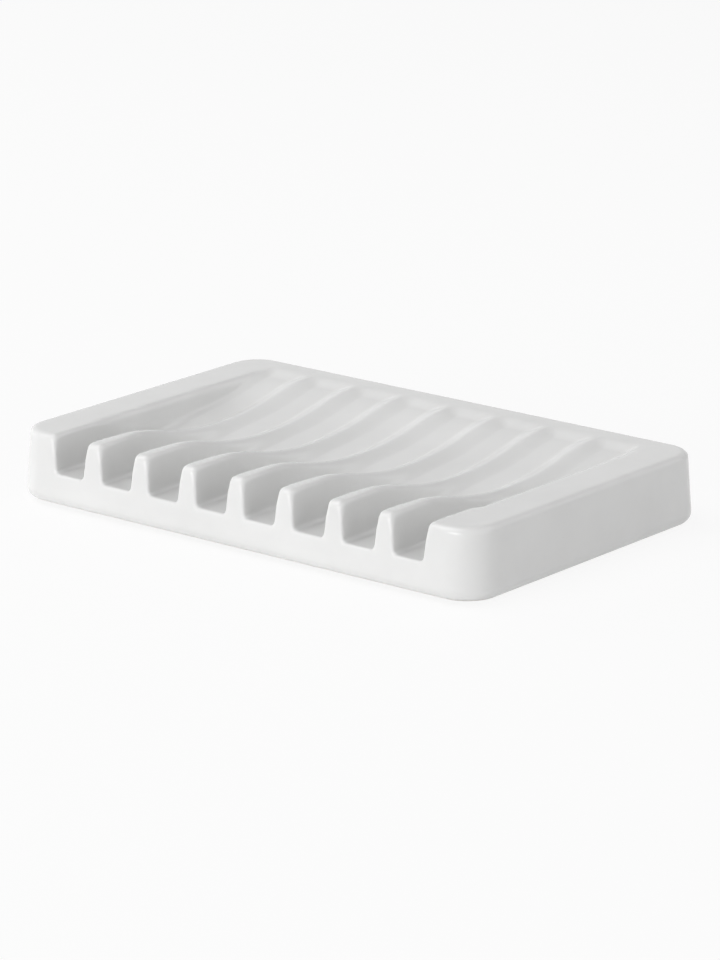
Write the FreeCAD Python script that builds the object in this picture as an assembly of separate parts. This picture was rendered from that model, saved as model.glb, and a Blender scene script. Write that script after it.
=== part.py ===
import FreeCAD, Part
import math
import os

# Soap dish with a fluted, dished draining top, cast in one piece and standing on four soft pads.
# Millimetres and degrees. X runs along the dish, the groove outlets face -Y, Z is up from the pads' undersides.

Vector = FreeCAD.Vector

# Outer form of the glazed body
dish_length = 135.0
dish_width = 86.3
body_height = 16.5
side_draft_angle = 4.3
plan_corner_radius = 9.0
top_edge_radius = 1.6
base_edge_radius = 2.8

# Soap hollow: an arc swept along the ribs between two soft lips, with sloping ends
hollow_length = 109.8
hollow_depth = 4.1
hollow_sweep_radius = 90.0
hollow_lip_radius = 38.0
hollow_inset = 40.85
hollow_end_angle = 68.0
hollow_shoulder_height = 2.6
hollow_shoulder_angle = 35.0

# Drain grooves: level at outlets in the front face, then rising to a shallow end below the back rim
groove_count = 8
groove_pitch = 14.08
groove_floor_width = 8.4
groove_floor_radius = 1.2
groove_wall_angle = 5.5
groove_outlet_height = 7.6
groove_level_run = 8.0
groove_middle_depth = 1.3
groove_arc_lead = 1.8
groove_back_depth = 0.8
groove_end_angle = 50.0
back_rim_width = 7.5

# Softened edges of the ribs and outlets
rib_land_width = 3.4
rib_bevel_angle = 40.0
rib_bevel_reach = 0.9
outlet_bevel = 0.7

# Unglazed foot under the body
foot_rim_width = 14.0
foot_recess_depth = 3.0
foot_recess_corner_radius = 10.0
foot_recess_wall_angle = 40.0

# Soft pads, glued into round seats in the foot
pad_diameter = 9.0
pad_height = 1.8
pad_edge_bevel = 0.4
pad_seat_depth = 0.9
pad_seat_clearance = 0.25
pad_inset = 12.0

# Working values for cuts
cut_overrun = 6.0
touch_tolerance = 0.001

base_level = pad_height - pad_seat_depth
top_level = base_level + body_height
roof_level = top_level + cut_overrun
front_edge = -dish_width / 2
back_edge = dish_width / 2
hollow_middle = back_edge - hollow_inset
sweep_centre = Vector(0, hollow_middle, top_level - hollow_depth + hollow_sweep_radius)
groove_sweep_radius = hollow_sweep_radius + groove_middle_depth


def slope_of(angle):
    return math.tan(math.radians(angle))


def face_at(shape, level):
    """The flat face of a shape that lies at a height."""
    for face in shape.Faces:
        box = face.BoundBox
        if abs(box.ZMin - level) < touch_tolerance and abs(box.ZMax - level) < touch_tolerance:
            return face
    raise ValueError("no flat face at this height")


def rounded_rectangle(length, width, radius, level):
    """Closed outline of a rectangle with round corners, centred on the Z axis."""
    half_x = length / 2
    half_y = width / 2
    edges = []
    corners = [(1, 1, 0), (-1, 1, 90), (-1, -1, 180), (1, -1, 270)]
    for side_x, side_y, start in corners:
        centre = Vector(side_x * (half_x - radius), side_y * (half_y - radius), level)
        circle = Part.Circle(centre, Vector(0, 0, 1), radius)
        edges.append(Part.Arc(circle, math.radians(start), math.radians(start + 90)).toShape())
    for index in range(len(corners)):
        here = edges[index]
        after = edges[(index + 1) % len(corners)]
        edges.append(Part.makeLine(here.lastVertex().Point, after.firstVertex().Point))
    return Part.Wire(Part.__sortEdges__(edges))


def drafted_block(length, width, radius, level, height, slope):
    """Block with round upright corners whose walls lean in by the slope on the way up."""
    inset = height * slope
    lower = rounded_rectangle(length, width, radius, level)
    upper = rounded_rectangle(length - 2 * inset, width - 2 * inset, radius - inset, level + height)
    return Part.makeLoft([lower, upper], True, True)


def outer_block():
    """The plain casting: drafted walls, a soft top edge and a rounder base edge."""
    block = drafted_block(
        dish_length, dish_width, plan_corner_radius, base_level, body_height, slope_of(side_draft_angle)
    )
    block = block.makeFillet(top_edge_radius, face_at(block, top_level).OuterWire.Edges)
    return block.makeFillet(base_edge_radius, face_at(block, base_level).OuterWire.Edges)


def arc_between(start, finish, centre, radius):
    """The shorter arc from start to finish on a circle."""
    outward = (start - centre) + (finish - centre)
    outward.normalize()
    return Part.Arc(start, centre + outward * radius, finish).toShape()


def above_hollow(land_length):
    """Region above the hollow, seen from the side, with a length of the flat land in front of it."""
    lip_rise = sweep_centre.z - top_level + hollow_lip_radius
    spread = math.sqrt((hollow_sweep_radius + hollow_lip_radius) ** 2 - lip_rise ** 2)
    share = hollow_lip_radius / (hollow_sweep_radius + hollow_lip_radius)
    front_lip = Vector(0, hollow_middle - spread, top_level - hollow_lip_radius)
    back_lip = Vector(0, hollow_middle + spread, top_level - hollow_lip_radius)
    front_top = front_lip + Vector(0, 0, hollow_lip_radius)
    front_join = front_lip + (sweep_centre - front_lip) * share
    back_join = back_lip + (sweep_centre - back_lip) * share
    back_top = back_lip + Vector(0, 0, hollow_lip_radius)
    edges = [
        arc_between(front_top, front_join, front_lip, hollow_lip_radius),
        arc_between(front_join, back_join, sweep_centre, hollow_sweep_radius),
        arc_between(back_join, back_top, back_lip, hollow_lip_radius),
    ]
    corners = [back_top, Vector(0, back_top.y, roof_level), Vector(0, front_top.y - land_length, roof_level)]
    if land_length > 0:
        corners.append(Vector(0, front_top.y - land_length, top_level))
    corners.append(front_top)
    edges += [Part.makeLine(*pair) for pair in zip(corners, corners[1:])]
    return Part.Face(Part.Wire(edges))


def moved(shape, x, z):
    copy = shape.copy()
    copy.translate(Vector(x, 0, z))
    return copy


def hollow_tools():
    """Tools for the hollow: the sweep between its ends, and at each end a steep slope under a soft shoulder."""
    profile = above_hollow(0)
    end = hollow_length / 2
    shoulder = end + hollow_shoulder_height / slope_of(hollow_end_angle)
    tools = [moved(profile, -end, 0).extrude(Vector(hollow_length, 0, 0))]
    for side in (-1, 1):
        rise = Vector(side, 0, slope_of(hollow_end_angle)) * hollow_depth
        tools.append(moved(profile, side * end, 0).extrude(rise))
        rise = Vector(side, 0, slope_of(hollow_shoulder_angle)) * hollow_depth
        tools.append(moved(profile, side * shoulder, hollow_shoulder_height).extrude(rise))
    return tools


def groove_outline(growth, place):
    """Outline of a groove: flat floor, round corners and drafted walls, swollen all round by the growth."""
    lean = math.radians(groove_wall_angle)
    corner_share = math.tan((math.pi / 2 - lean) / 2)
    radius = groove_floor_radius + growth
    half_floor = groove_floor_width / 2 + growth * corner_share
    tangent = radius * corner_share
    turn = -(math.pi / 2 + lean) / 2
    flat_end = (half_floor - tangent, -growth)
    bend = (flat_end[0] + radius * math.cos(turn), radius - growth + radius * math.sin(turn))
    wall_start = (half_floor + tangent * math.sin(lean), tangent * math.cos(lean) - growth)
    wall_end = (half_floor + (body_height + growth) * math.tan(lean), body_height)
    right = [place(across, height) for across, height in (flat_end, bend, wall_start, wall_end)]
    left = [place(-across, height) for across, height in (flat_end, bend, wall_start, wall_end)]
    return Part.Wire([
        Part.makeLine(left[0], right[0]),
        Part.Arc(right[0], right[1], right[2]).toShape(),
        Part.makeLine(right[2], right[3]),
        Part.makeLine(right[3], left[3]),
        Part.makeLine(left[3], left[2]),
        Part.Arc(left[2], left[1], left[0]).toShape(),
    ])


def groove_tools(x):
    """Tools for one groove, end to end: level outlet, rise, arc below the hollow, run-out and shallow level end."""
    across = Vector(1, 0, 0)
    ahead = Vector(0, 1, 0)

    def section(foot, upward, growth=0):
        return groove_outline(growth, lambda aside, height: foot + across * aside + upward * height)

    def to_centre(angle):
        return Vector(0, -math.sin(angle), math.cos(angle))

    outlet = Vector(x, front_edge, base_level + groove_outlet_height)
    rise_foot = outlet + ahead * groove_level_run
    centre = Vector(x, hollow_middle - groove_arc_lead, sweep_centre.z)
    reach = centre - rise_foot
    rise_angle = math.atan2(reach.z, reach.y) - math.asin(groove_sweep_radius / reach.Length)
    out_height = top_level - 2 * groove_back_depth
    out_angle = math.acos((centre.z - out_height) / groove_sweep_radius)
    arc_start = centre - to_centre(rise_angle) * groove_sweep_radius
    arc_end = centre - to_centre(out_angle) * groove_sweep_radius
    end_start = arc_end + Vector(0, 1 / math.tan(out_angle), 1) * groove_back_depth
    end_slope = Vector(0, 1 / slope_of(groove_end_angle), 1)
    end_foot = Vector(x, back_edge - back_rim_width, top_level) - end_slope * groove_back_depth

    front = section(outlet - ahead * cut_overrun, Vector(0, 0, 1))
    rise_start = section(rise_foot, Vector(0, -math.tan(rise_angle / 2), 1))
    rise_end = section(arc_start, to_centre(rise_angle))
    out_start = section(arc_end, to_centre(out_angle))
    out_end = section(end_start, Vector(0, -math.tan(out_angle / 2), 1))
    back = section(end_foot, end_slope)
    stretches = [(front, rise_start), (rise_start, rise_end), (out_start, out_end), (out_end, back)]
    tools = [Part.makeLoft(list(pair), True, True) for pair in stretches]
    tools.append(Part.Face(rise_end).revolve(centre, across, math.degrees(out_angle - rise_angle)))

    front_slope = Vector(0, slope_of(side_draft_angle), 1)
    front_foot = outlet + ahead * (groove_outlet_height * front_slope.y)
    inner = section(front_foot + ahead * (outlet_bevel * 3 / 2), front_slope, -outlet_bevel / 2)
    outer = section(front_foot - ahead * (outlet_bevel / 2), front_slope, outlet_bevel * 3 / 2)
    tools.append(Part.makeLoft([inner, outer], True, True))
    return tools


def rib_bevel_tools(x, edge_profiles):
    """Tools that bevel the two edges of one groove along its ribs, or along an end rim."""
    reach = rib_bevel_reach
    drop = reach * slope_of(rib_bevel_angle)
    half_mouth = (groove_pitch - rib_land_width) / 2
    tools = []
    for side, profile in zip((-1, 1), edge_profiles):
        tools.append(moved(profile, x + side * half_mouth, 0).extrude(Vector(-side * reach, 0, -drop)))
    return tools


def top_tools():
    """All the tools for the draining top: grooves, and bevels that follow the ribs down into the hollow."""
    along_rib = above_hollow(dish_width)
    rim_corners = [
        Vector(0, front_edge - cut_overrun, top_level),
        Vector(0, hollow_middle, top_level),
        Vector(0, hollow_middle, roof_level),
        Vector(0, front_edge - cut_overrun, roof_level),
    ]
    along_rim = Part.Face(Part.makePolygon(rim_corners + rim_corners[:1]))
    first = -(groove_count - 1) / 2 * groove_pitch
    tools = []
    for index in range(groove_count):
        x = first + index * groove_pitch
        left = along_rim if index == 0 else along_rib
        right = along_rim if index == groove_count - 1 else along_rib
        tools += groove_tools(x)
        tools += rib_bevel_tools(x, (left, right))
    return tools


def foot_recess():
    """Tool for the shallow recess that leaves the foot as a rim."""
    slope = slope_of(foot_recess_wall_angle)
    spread = 2 * (foot_rim_width - cut_overrun * slope)
    radius = foot_recess_corner_radius + cut_overrun * slope
    height = cut_overrun + foot_recess_depth
    return drafted_block(
        dish_length - spread, dish_width - spread, radius, base_level - cut_overrun, height, slope
    )


def pad_places():
    """Names and places of the four pads, one near each corner of the foot."""
    out_x = dish_length / 2 - pad_inset
    out_y = dish_width / 2 - pad_inset
    return {
        "front_left": Vector(-out_x, -out_y, 0),
        "front_right": Vector(out_x, -out_y, 0),
        "rear_left": Vector(-out_x, out_y, 0),
        "rear_right": Vector(out_x, out_y, 0),
    }


def foot_pad(place):
    """Soft disc with a bevelled lower edge, seated to its depth and standing proud by the rest."""
    pad = Part.makeCylinder(pad_diameter / 2, pad_height, place)
    return pad.makeChamfer(pad_edge_bevel, face_at(pad, 0).OuterWire.Edges)


def dish_body():
    """The whole casting."""
    seat_radius = pad_diameter / 2 + pad_seat_clearance
    seats = [Part.makeCylinder(seat_radius, pad_height, place) for place in pad_places().values()]
    block = outer_block().cut(hollow_tools())
    block = block.cut(seats + [foot_recess()])
    return block.cut(top_tools()).Solids[0]


os.makedirs("parts", exist_ok=True)
dish_body().exportStep("parts/dish_body.step")
for name, place in pad_places().items():
    foot_pad(place).exportStep("parts/foot_pad_" + name + ".step")
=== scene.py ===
import math

import bpy
import numpy as np
from mathutils import Matrix, Vector


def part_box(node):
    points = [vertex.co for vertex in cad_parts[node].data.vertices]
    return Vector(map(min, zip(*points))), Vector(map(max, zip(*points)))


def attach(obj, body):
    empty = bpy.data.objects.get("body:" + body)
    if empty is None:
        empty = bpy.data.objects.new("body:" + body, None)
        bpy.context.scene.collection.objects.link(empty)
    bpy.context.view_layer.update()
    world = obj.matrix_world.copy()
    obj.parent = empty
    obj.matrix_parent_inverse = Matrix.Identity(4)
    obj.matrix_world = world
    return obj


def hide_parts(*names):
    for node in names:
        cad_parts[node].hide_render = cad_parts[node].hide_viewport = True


# Looks of a glazed ceramic soap dish with a fluted, dished draining top, on four soft pads.
# Metres and degrees. X runs along the dish, the groove outlets face -Y, Z is up from the pads' undersides.

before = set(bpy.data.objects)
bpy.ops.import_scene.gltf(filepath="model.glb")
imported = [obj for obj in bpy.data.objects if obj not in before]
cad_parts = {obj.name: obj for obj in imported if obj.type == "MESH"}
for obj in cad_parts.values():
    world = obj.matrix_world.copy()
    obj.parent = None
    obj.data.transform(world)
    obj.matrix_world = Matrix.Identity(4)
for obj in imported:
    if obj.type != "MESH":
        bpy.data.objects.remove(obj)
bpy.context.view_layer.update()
base_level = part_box("dish_body")[0].z
top_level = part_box("dish_body")[1].z

# Outer form of the glazed body
dish_length = 0.135
dish_width = 0.0863
side_draft_angle = 4.3
plan_corner_radius = 0.009
top_edge_radius = 0.0016
base_edge_radius = 0.0028

# Soap hollow
hollow_half_length = 0.0541
hollow_depth = 0.0041
hollow_sweep_radius = 0.090
hollow_setback = 0.0023
hollow_end_angle = 82.0
hollow_end_radius = 0.0022
hollow_lip_softness = 0.0017

# Drain grooves
groove_count = 8
groove_pitch = 0.01408
groove_floor_width = 0.0084
groove_left_wall_angle = 6.2
groove_right_wall_angle = 4.8
groove_back_wall_angle = 40.0
groove_shift = -0.00014
first_groove_shift = -0.0004
first_wall_trim = 0.0003
last_wall_trim = 0.0005
groove_outlet_height = 0.0076
groove_middle_depth = 0.0013
groove_back_depth = 0.0010
groove_floor_radius = 0.00115
groove_back_floor_radius = 0.0013
groove_level_run = 0.008
groove_join_setback = 0.008
groove_end = 0.0338
groove_end_angle = 50.0
groove_end_radius = 0.0008

# Glaze-softened edges: ribs rounder at their noses and in the hollow, outlets rounder towards the top
rib_nose_radius = 0.0015
rib_nose_length = 0.005
rib_edge_radius = 0.0009
rib_back_edge_radius = 0.0018
soft_zone_start = -0.040
soft_zone_length = 0.056
outlet_edge_radius = 0.0006
outlet_edge_height = 0.004

# Unglazed foot and pad seats
foot_rim_width = 0.014
foot_recess_depth = 0.003
foot_recess_corner_radius = 0.010
foot_recess_wall_angle = 40.0
foot_recess_edge_radius = 0.0008
foot_rim_edge_radius = 0.0004
pad_seat_depth = 0.0009
pad_seat_clearance = 0.00025
pad_inset = 0.012

# Pads
pad_radius = 0.0045
pad_height = 0.0018
pad_edge_radius = 0.0004
pad_dimple_radius = 0.0028
pad_dimple_depth = 0.0002
pad_cap_share = 0.9
pad_middle_share = 0.1
pad_curve_points = 7
pad_turns = 64

# Colours, roughness and fine marks of the surfaces, with scales in marks per metre
shade_spread = (0.3, 0.7)
full_spread = (0.0, 1.0)
glaze_shades = ((0.78, 0.78, 0.775), (0.82, 0.82, 0.815))
glaze_roughness = (0.18, 0.28)
cloud_scale = 60.0
cloud_detail = 4.0
ripple_scale = 220.0
ripple_detail = 2.0
ripple_height = 0.00002
pinhole_shades = ((0.56, 0.55, 0.53), (0.62, 0.61, 0.59))
pinhole_scale = 120.0
pinhole_pick = (0.9, 0.91)
pinhole_radius = 0.00035
pinhole_depth = 0.0001
biscuit_shades = ((0.66, 0.63, 0.58), (0.76, 0.73, 0.68))
biscuit_roughness = (0.7, 0.9)
biscuit_scale = 2200.0
biscuit_detail = 3.0
biscuit_grain = 0.00004
glaze_line_height = 0.0004
glaze_edge_height = 0.0002
rubber_shades = ((0.62, 0.62, 0.6), (0.76, 0.76, 0.74))
rubber_roughness = (0.6, 0.8)
rubber_scale = 2500.0
rubber_detail = 2.0
rubber_grain = 0.00003

# Fineness of the dish's skin
skin_step = 0.0005
skin_long_step = 0.0009
skin_margin = 0.0012
skin_fine_edge = 0.007
skin_passes = 3
settle_passes = 3
settle_nudge = 0.00005
settle_least_slope = 0.5

# Floor and sky
floor_size = 6.0
floor_colour = (0.9, 0.9, 0.9, 1)
sky_colour = (1, 1, 1, 1)
sky_light = 0.0
background_strength = 1.0
background_share = 0.9

# Lamps by azimuth, elevation, size, power and whether the glaze mirrors them: side fills would glare in it
lamp_distance = 1.2
lamps = {
    "front_low": (0, 3, 0.8, 13.0, True),
    "front_left_high": (-45, 60, 1.0, 7.8, True),
    "left_low": (-90, 15, 0.8, 5.7, False),
    "right_low": (90, 12, 0.8, 4.3, False),
    "back_right": (135, 40, 0.8, 3.0, True),
}

# Camera of the photograph
view_azimuth = 39.092
view_elevation = 16.312
view_distance = 1.04376
view_aim_right = -0.000887
view_aim_up = 0.001683
view_lens = 171.83
view_sensor = 36.0


def slope_of(angle):
    return math.tan(math.radians(angle))


def direction(azimuth, elevation):
    """Unit vector from the dish towards a lamp or camera. The azimuth turns from the front to the right."""
    around = math.radians(azimuth)
    above = math.radians(elevation)
    level = math.cos(above)
    return Vector((math.sin(around) * level, -math.cos(around) * level, math.sin(above)))


# The dish as a distance field: below zero inside the ceramic, above zero in the air

def soft_ramp(value, softness):
    """Zero below zero and the value itself above, joined by a smooth bend of that half width."""
    bend = (value + softness) ** 2 / (4 * softness)
    return np.where(value > softness, value, np.where(value < -softness, 0, bend))


def rounded_overlap(first, second, radius):
    """Field of what lies in both forms, with their shared edge rounded."""
    beyond = np.hypot(np.maximum(first + radius, 0), np.maximum(second + radius, 0))
    return np.minimum(np.maximum(first, second), -radius) + beyond


def rounded_rectangle(x, y, length, width, radius, inset):
    """Field of a rectangle with round corners, whose walls stand in by the inset."""
    over_x = np.abs(x) - (length / 2 - radius)
    over_y = np.abs(y) - (width / 2 - radius)
    beyond = np.hypot(np.maximum(over_x, 0), np.maximum(over_y, 0))
    return beyond + np.minimum(np.maximum(over_x, over_y), 0) - (radius - inset)


def sweep_depth(y):
    """Depth of the hollow along its middle."""
    aside = np.clip(y - hollow_setback, -hollow_sweep_radius, hollow_sweep_radius)
    sweep = hollow_depth - hollow_sweep_radius + np.sqrt(hollow_sweep_radius ** 2 - aside ** 2)
    return soft_ramp(sweep, hollow_lip_softness)


def top_field(x, y, z):
    """Field of the ceramic under the top: the hollow's sweep, and the steep round-edged ends above it."""
    swept = z - top_level + sweep_depth(y)
    lean = math.radians(90 - hollow_end_angle)
    end = (hollow_half_length - np.abs(x) + (z - top_level) * math.tan(lean)) * math.cos(lean)
    return np.minimum(swept, rounded_overlap(z - top_level, end, hollow_end_radius))


def back_share(y):
    """Zero at the front, where the ribs stand upright, and one at the back, where they are low waves."""
    share = np.clip((y - soft_zone_start) / soft_zone_length, 0, 1)
    return share ** 2 * (3 - 2 * share)


def back_floor(y):
    """Height of the groove floors in the hollow, where they get shallower towards the back rim."""
    share = np.clip((y - hollow_setback) / (groove_end - hollow_setback), 0, 1)
    depth = groove_middle_depth + (groove_back_depth - groove_middle_depth) * share
    return top_level - sweep_depth(y) - depth


def groove_floor(y):
    """Height of the groove floors: level at the outlets, then a long curve up into the hollow."""
    outlet = base_level + groove_outlet_height
    start = groove_level_run - dish_width / 2
    join = hollow_setback + groove_join_setback
    run = join - start
    join_slope = (back_floor(join + skin_step) - back_floor(join - skin_step)) / (2 * skin_step)
    share = np.clip((y - start) / run, 0, 1)
    curve = outlet + (back_floor(join) - outlet) * share ** 2 * (3 - 2 * share)
    curve = curve - join_slope * run * share ** 2 * (1 - share)
    return np.where(y < join, curve, back_floor(y))


def groove_field(x, y, z):
    """Field of the air in the grooves, with round floor corners and a sloping end below the back rim."""
    first = -(groove_count - 1) / 2 * groove_pitch
    index = np.clip(np.round((x - first) / groove_pitch), 0, groove_count - 1)
    shift = np.where(index == 0, first_groove_shift, groove_shift)
    aside = x - first - index * groove_pitch - shift
    at_left_rim = (index == 0) & (aside < 0)
    at_right_rim = (index == groove_count - 1) & (aside > 0)
    front_angle = np.where(aside < 0, groove_left_wall_angle, groove_right_wall_angle)
    back_angle = np.where(at_left_rim | at_right_rim, 90 - hollow_end_angle, groove_back_wall_angle)
    lean = np.radians(front_angle + (back_angle - front_angle) * back_share(y))
    height = z - groove_floor(y)
    trim = np.where(at_left_rim, first_wall_trim, np.where(at_right_rim, last_wall_trim, 0))
    wall = np.abs(aside) - groove_floor_width / 2 + trim - height * np.tan(lean)
    floor_radius = groove_floor_radius + (groove_back_floor_radius - groove_floor_radius) * back_share(y)
    trough = rounded_overlap(-height, wall * np.cos(lean), floor_radius)
    end = y - groove_end + (top_level - z) / slope_of(groove_end_angle)
    return rounded_overlap(trough, end * math.sin(math.radians(groove_end_angle)), groove_end_radius)


def foot_field(x, y, z):
    """Field of the air under the foot: the recess and the four pad seats."""
    height = z - base_level
    inset = foot_rim_width + height * slope_of(foot_recess_wall_angle)
    lean = math.cos(math.radians(foot_recess_wall_angle))
    corner_radius = foot_recess_corner_radius + foot_rim_width
    plan = rounded_rectangle(x, y, dish_length, dish_width, corner_radius, inset)
    recess = rounded_overlap(plan * lean, height - foot_recess_depth, foot_recess_edge_radius)
    out_x = np.abs(x) - (dish_length / 2 - pad_inset)
    out_y = np.abs(y) - (dish_width / 2 - pad_inset)
    seat = np.maximum(np.hypot(out_x, out_y) - pad_radius - pad_seat_clearance, height - pad_seat_depth)
    return np.minimum(recess, seat)


def dish_field(points):
    """Field of the whole dish."""
    x, y, z = points[..., 0], points[..., 1], points[..., 2]
    inset = (z - base_level) * slope_of(side_draft_angle)
    lean = math.cos(math.radians(side_draft_angle))
    side = rounded_rectangle(x, y, dish_length, dish_width, plan_corner_radius, inset) * lean
    nose_share = np.clip(1 - (y + dish_width / 2) / rib_nose_length, 0, 1)
    rib_radius = rib_edge_radius + (rib_back_edge_radius - rib_edge_radius) * back_share(y)
    rib_radius = rib_radius + (rib_nose_radius - rib_edge_radius) * nose_share
    top = rounded_overlap(top_field(x, y, z), -groove_field(x, y, z), rib_radius)
    edge_share = np.clip((z - top_level) / outlet_edge_height + 1, 0, 1)
    edge_radius = outlet_edge_radius + (top_edge_radius - outlet_edge_radius) * edge_share
    body = rounded_overlap(side, top, edge_radius)
    body = rounded_overlap(body, base_level - z, base_edge_radius)
    return rounded_overlap(body, -foot_field(x, y, z), foot_rim_edge_radius)


# A smooth skin of quads over a field

def steps(low, high, step):
    return np.linspace(low, high, max(2, round((high - low) / step) + 1))


def settle(points, field):
    """Moves points along the field's slope onto its zero surface."""
    for _ in range(settle_passes):
        value = field(points)
        slope = np.stack([
            (field(points + settle_nudge * axis) - field(points - settle_nudge * axis)) / (2 * settle_nudge)
            for axis in np.eye(3)
        ], axis=-1)
        steepness = np.maximum((slope ** 2).sum(axis=-1), settle_least_slope ** 2)
        move = np.clip(value / steepness, -skin_step, skin_step)
        points = points - slope * move[:, None]
    return points


def skin(field, xs, ys, zs):
    """Points and quads of a field's zero surface, one point per crossed cell of a grid, evened out."""
    grid = field(np.stack(np.meshgrid(xs, ys, zs, indexing="ij"), axis=-1))
    inside = grid < 0
    near = np.zeros([n - 1 for n in inside.shape], int)
    for i, j, k in np.ndindex(2, 2, 2):
        near += inside[i:i + near.shape[0], j:j + near.shape[1], k:k + near.shape[2]]
    cells = np.argwhere((near > 0) & (near < 8))
    number = np.full(near.shape, -1)
    number[tuple(cells.T)] = np.arange(len(cells))
    middles = [(line[1:] + line[:-1]) / 2 for line in (xs, ys, zs)]
    points = np.stack([middle[cells[:, axis]] for axis, middle in enumerate(middles)], axis=-1)
    quads = []
    for axis in range(3):
        ahead = np.moveaxis(inside, axis, 0)
        numbers = np.moveaxis(number, axis, 0)
        crossed = np.argwhere(ahead[:-1, 1:-1, 1:-1] != ahead[1:, 1:-1, 1:-1])
        along, u, v = crossed.T
        corners = ((u, v), (u + 1, v), (u + 1, v + 1), (u, v + 1))
        ring = np.stack([numbers[along, row, column] for row, column in corners], axis=-1)
        outward = ahead[along, u + 1, v + 1] ^ (axis == 1)
        quads.append(np.where(outward[:, None], ring, ring[:, ::-1]))
    quads = np.concatenate(quads)
    points = settle(points, field)
    ends = np.concatenate([quads[:, [i, (i + 1) % 4]] for i in range(4)])
    for _ in range(skin_passes):
        total = np.zeros_like(points)
        count = np.zeros(len(points))
        for here, there in (ends.T, ends.T[::-1]):
            np.add.at(total, here, points[there])
            np.add.at(count, here, 1)
        points = settle((points + total / count[:, None]) / 2, field)
    return points, quads


# Other meshes

def turned(profile, turns):
    """Points and faces of a form turned about Z, from a profile that runs from its underside to its top."""
    angles = np.linspace(0, 2 * np.pi, turns, endpoint=False)
    around = np.stack([np.cos(angles), np.sin(angles), np.zeros(turns)], axis=-1)
    rings = [radius * around + np.array([0, 0, height]) for radius, height in profile]
    faces = [list(range(turns))[::-1]]
    for ring in range(len(profile) - 1):
        low = ring * turns
        for here in range(turns):
            after = (here + 1) % turns
            faces.append([low + here, low + after, low + turns + after, low + turns + here])
    faces.append([(len(profile) - 1) * turns + here for here in range(turns)])
    return np.concatenate(rings), faces


def pad_profile():
    """Half outline of a pad: a shallow dimple below, a round lower edge and a flat top."""
    dimple_shares = np.linspace(pad_middle_share, 1, pad_curve_points)
    dimple_heights = pad_dimple_depth * (1 + np.cos(np.pi * dimple_shares)) / 2
    bend = np.linspace(0, np.pi / 2, pad_curve_points)
    edge_radii = pad_radius - pad_edge_radius * (1 - np.sin(bend))
    edge_heights = pad_edge_radius * (1 - np.cos(bend))
    return np.concatenate([
        np.stack([pad_dimple_radius * dimple_shares, dimple_heights], axis=-1),
        np.stack([edge_radii, edge_heights], axis=-1),
        [[pad_radius, pad_height], [pad_cap_share * pad_radius, pad_height]],
    ])


def add_object(name, data):
    """New object in the scene."""
    added = bpy.data.objects.new(name, data)
    bpy.context.scene.collection.objects.link(added)
    return added


def add_piece(name, points, faces, material):
    """A smooth-shaded mesh piece that rides on the one body."""
    mesh = bpy.data.meshes.new(name)
    mesh.from_pydata(points.tolist(), [], faces)
    mesh.shade_smooth()
    mesh.materials.append(material)
    piece = add_object(name, mesh)
    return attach(piece, "root")


# Materials

def new_material(name):
    material = bpy.data.materials.new(name)
    material.use_nodes = True
    return material, material.node_tree, material.node_tree.nodes["Principled BSDF"]


def add_node(tree, kind, inputs, **settings):
    """New node with its settings, each input linked to an output or set to a plain value."""
    node = tree.nodes.new(kind)
    for name, value in settings.items():
        setattr(node, name, value)
    for place, given in inputs.items():
        if isinstance(given, bpy.types.NodeSocket):
            tree.links.new(given, node.inputs[place])
        else:
            node.inputs[place].default_value = given
    return node


def ramp(tree, value, spread, shades):
    """Colour that runs from one shade to the other over a spread of the value."""
    node = add_node(tree, "ShaderNodeValToRGB", {"Fac": value})
    for element, position, shade in zip(node.color_ramp.elements, spread, shades):
        element.position = position
        element.color = (*shade, 1)
    return node.outputs["Color"]


def span(tree, value, spread, ends):
    """Number that runs from one end to the other over a spread of the value, and is held beyond it."""
    inputs = {
        "Value": value,
        "From Min": spread[0],
        "From Max": spread[1],
        "To Min": ends[0],
        "To Max": ends[1],
    }
    return add_node(tree, "ShaderNodeMapRange", inputs).outputs["Result"]


def blend(tree, share, first, second):
    """Mix of two colours, whose sockets share their names with others and so go by number."""
    node = add_node(tree, "ShaderNodeMix", {"Factor": share, 6: first, 7: second}, data_type="RGBA")
    return node.outputs[2]


def combine(tree, operation, first, second):
    """Result of an operation on two numbers."""
    return add_node(tree, "ShaderNodeMath", {0: first, 1: second}, operation=operation).outputs["Value"]


def noise(tree, place, scale, detail):
    inputs = {"Vector": place, "Scale": scale, "Detail": detail}
    return add_node(tree, "ShaderNodeTexNoise", inputs).outputs["Fac"]


def bump(tree, height, distance, below=None):
    """Small relief, on top of another one where that is given."""
    inputs = {"Height": height, "Distance": distance}
    if below:
        inputs["Normal"] = below
    return add_node(tree, "ShaderNodeBump", inputs).outputs["Normal"]


def object_place(tree):
    return tree.nodes.new("ShaderNodeTexCoord").outputs["Object"]


def pinhole_mask(tree, place):
    """One in the middle of a pinhole, in a few cells picked by chance, and zero elsewhere."""
    cells = add_node(tree, "ShaderNodeTexVoronoi", {"Vector": place, "Scale": pinhole_scale})
    channels = add_node(tree, "ShaderNodeSeparateColor", {"Color": cells.outputs["Color"]})
    picked = span(tree, channels.outputs["Red"], pinhole_pick, (0, 1))
    spot = span(tree, cells.outputs["Distance"], (0, pinhole_radius * pinhole_scale), (1, 0))
    return combine(tree, "MULTIPLY", picked, spot)


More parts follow.
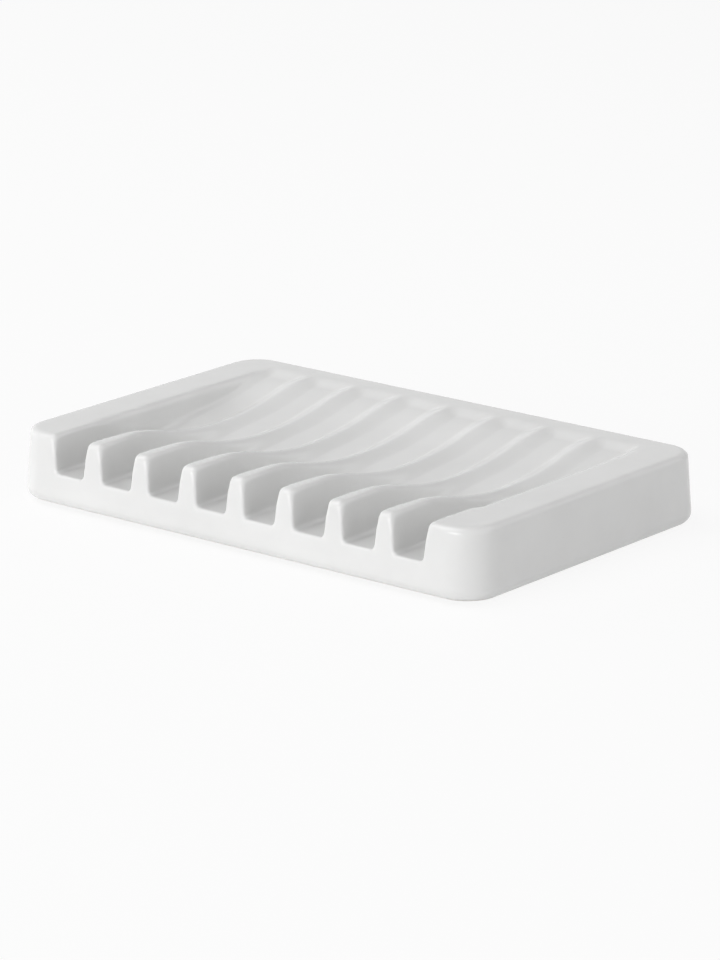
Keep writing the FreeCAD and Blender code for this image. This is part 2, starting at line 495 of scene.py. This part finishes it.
def glaze_material():
    """Glossy white glaze, faintly clouded, rippled and pinholed, wiped off the foot to matt biscuit."""
    material, tree, shader = new_material("white_glaze")
    place = object_place(tree)
    pinholes = pinhole_mask(tree, place)
    cloud = noise(tree, place, cloud_scale, cloud_detail)
    grain = noise(tree, place, biscuit_scale, biscuit_detail)
    level = add_node(tree, "ShaderNodeSeparateXYZ", {"Vector": place}).outputs["Z"]
    glaze_line = base_level + glaze_line_height
    bare = span(tree, level, (glaze_line, glaze_line + glaze_edge_height), (1, 0))

    white = ramp(tree, cloud, shade_spread, glaze_shades)
    pitted = ramp(tree, cloud, full_spread, pinhole_shades)
    biscuit = ramp(tree, grain, shade_spread, biscuit_shades)
    colour = blend(tree, bare, blend(tree, pinholes, white, pitted), biscuit)
    tree.links.new(colour, shader.inputs["Base Color"])

    gloss = span(tree, cloud, full_spread, glaze_roughness)
    matt = span(tree, grain, full_spread, biscuit_roughness)
    tree.links.new(blend(tree, bare, gloss, matt), shader.inputs["Roughness"])

    relief = bump(tree, noise(tree, place, ripple_scale, ripple_detail), ripple_height)
    relief = bump(tree, span(tree, pinholes, (0, 1), (1, 0)), pinhole_depth, relief)
    relief = bump(tree, combine(tree, "MULTIPLY", bare, grain), biscuit_grain, relief)
    tree.links.new(relief, shader.inputs["Normal"])
    return material


def rubber_material():
    """Matt, slightly milky soft rubber with a fine grain."""
    material, tree, shader = new_material("pad_rubber")
    grain = noise(tree, object_place(tree), rubber_scale, rubber_detail)
    tree.links.new(ramp(tree, grain, shade_spread, rubber_shades), shader.inputs["Base Color"])
    tree.links.new(span(tree, grain, full_spread, rubber_roughness), shader.inputs["Roughness"])
    tree.links.new(bump(tree, grain, rubber_grain), shader.inputs["Normal"])
    return material


def background_rays(tree):
    """One for rays that show the background: those of the camera, of reflections and of glass."""
    path = tree.nodes.new("ShaderNodeLightPath")
    shown = combine(tree, "MAXIMUM", path.outputs["Is Camera Ray"], path.outputs["Is Glossy Ray"])
    return combine(tree, "MAXIMUM", shown, path.outputs["Is Transmission Ray"])


def floor_material():
    """White to rays that show the background, but for a share that takes light and keeps the shadow."""
    material, tree, shader = new_material("floor_white")
    tree.nodes.remove(shader)
    lit = add_node(tree, "ShaderNodeBsdfDiffuse", {"Color": floor_colour}).outputs["BSDF"]
    glow = add_node(tree, "ShaderNodeEmission", {"Strength": background_strength}).outputs["Emission"]
    share = combine(tree, "MULTIPLY", background_rays(tree), background_share)
    mixed = add_node(tree, "ShaderNodeMixShader", {"Fac": share, 1: lit, 2: glow}).outputs["Shader"]
    tree.links.new(mixed, tree.nodes["Material Output"].inputs["Surface"])
    return material


# The dish

reach_x = dish_length / 2 + skin_margin
reach_y = dish_width / 2 + skin_margin
fine_y = reach_y - skin_fine_edge
skin_xs = steps(-reach_x, reach_x, skin_step)
skin_ys = np.concatenate([
    steps(-reach_y, -fine_y, skin_step)[:-1],
    steps(-fine_y, fine_y, skin_long_step)[:-1],
    steps(fine_y, reach_y, skin_step),
])
skin_zs = steps(base_level - skin_margin, top_level + skin_margin, skin_step)
dish_points, dish_quads = skin(dish_field, skin_xs, skin_ys, skin_zs)
dish = add_piece("glazed_dish", dish_points, dish_quads.tolist(), glaze_material())
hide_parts("dish_body")

# The pads

rubber = rubber_material()
pad_points, pad_faces = turned(pad_profile(), pad_turns)
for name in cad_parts:
    if name.startswith("foot_pad"):
        low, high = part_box(name)
        place = np.array([(low.x + high.x) / 2, (low.y + high.y) / 2, low.z])
        pad = add_piece(name + "_rubber", pad_points + place, pad_faces, rubber)
        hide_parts(name)

# Floor, sky and lamps

half = floor_size / 2
floor_corners = [(-half, -half, 0), (half, -half, 0), (half, half, 0), (-half, half, 0)]
floor_mesh = bpy.data.meshes.new("floor")
floor_mesh.from_pydata(floor_corners, [], [(0, 1, 2, 3)])
floor_mesh.materials.append(floor_material())
floor = add_object("floor", floor_mesh)

world = bpy.data.worlds.new("studio")
world.use_nodes = True
bpy.context.scene.world = world
sky_tree = world.node_tree
sky = sky_tree.nodes["Background"]
sky.inputs["Color"].default_value = sky_colour
sky_level = span(sky_tree, background_rays(sky_tree), (0, 1), (sky_light, background_strength))
sky_tree.links.new(sky_level, sky.inputs["Strength"])

for name, (azimuth, elevation, size, power, mirrored) in lamps.items():
    lamp = bpy.data.lights.new(name, "AREA")
    lamp.shape = "SQUARE"
    lamp.size = size
    lamp.energy = power
    light = add_object(name, lamp)
    light.visible_glossy = mirrored
    light.location = direction(azimuth, elevation) * lamp_distance
    light.rotation_euler = direction(azimuth, elevation).to_track_quat("Z", "Y").to_euler()

# Camera

camera_data = bpy.data.cameras.new("camera")
camera_data.lens = view_lens
camera_data.sensor_width = view_sensor
camera = add_object("camera", camera_data)
towards = direction(view_azimuth, view_elevation)
rightward = direction(view_azimuth + 90, 0)
upward = towards.cross(rightward)
middle = Vector((0, 0, (base_level + top_level) / 2))
stand = middle + towards * view_distance - rightward * view_aim_right - upward * view_aim_up
camera.matrix_world = Matrix.Translation(stand) @ Matrix((rightward, upward, towards)).transposed().to_4x4()
bpy.context.scene.camera = camera
bpy.context.scene.view_settings.view_transform = "Standard"
